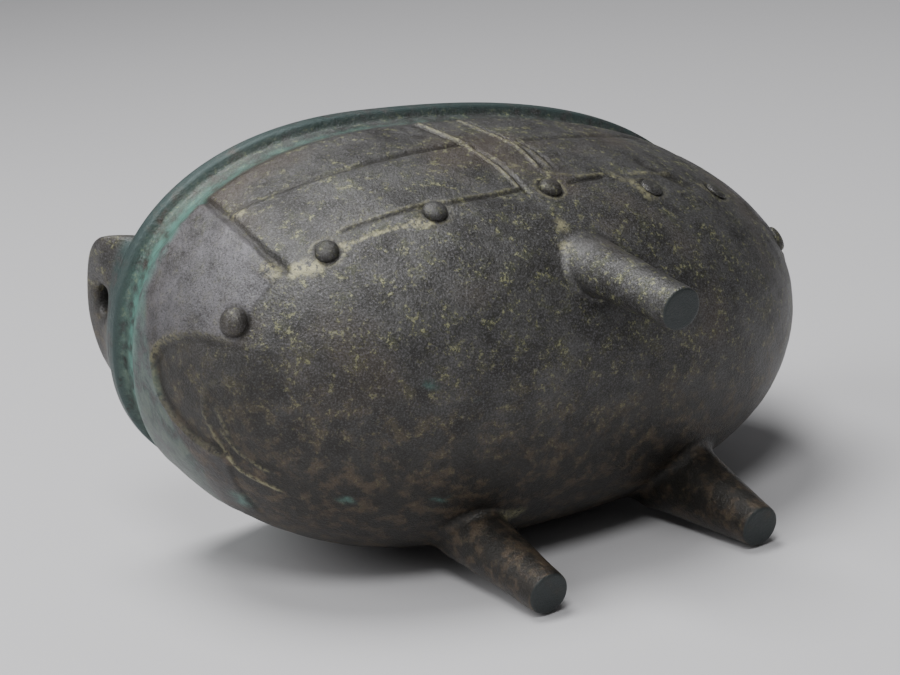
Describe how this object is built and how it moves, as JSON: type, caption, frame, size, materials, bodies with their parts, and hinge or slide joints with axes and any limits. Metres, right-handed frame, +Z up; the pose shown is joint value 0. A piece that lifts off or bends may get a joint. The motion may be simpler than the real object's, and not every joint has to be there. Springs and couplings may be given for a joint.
{
  "type": "bronze ding vessel",
  "caption": "Small cast bronze ding: a deep oval bowl on short round legs, with upright loop ears on the lip and a row of round studs.",
  "frame": {"origin": "middle of the length and width of the bounding box, on the plane of the three feet", "axes": "+X along the long axis of the bowl, from the full end to the narrow end; -Y towards the single leg, +Y towards the pair of legs; +Z up through the mouth"},
  "size_m": [0.1501, 0.0834, 0.104],
  "materials": {
    "bronze": "satin"
  },
  "bodies": {
    "root": {"ding_vessel": "bronze"}
  },
  "joints": []
}
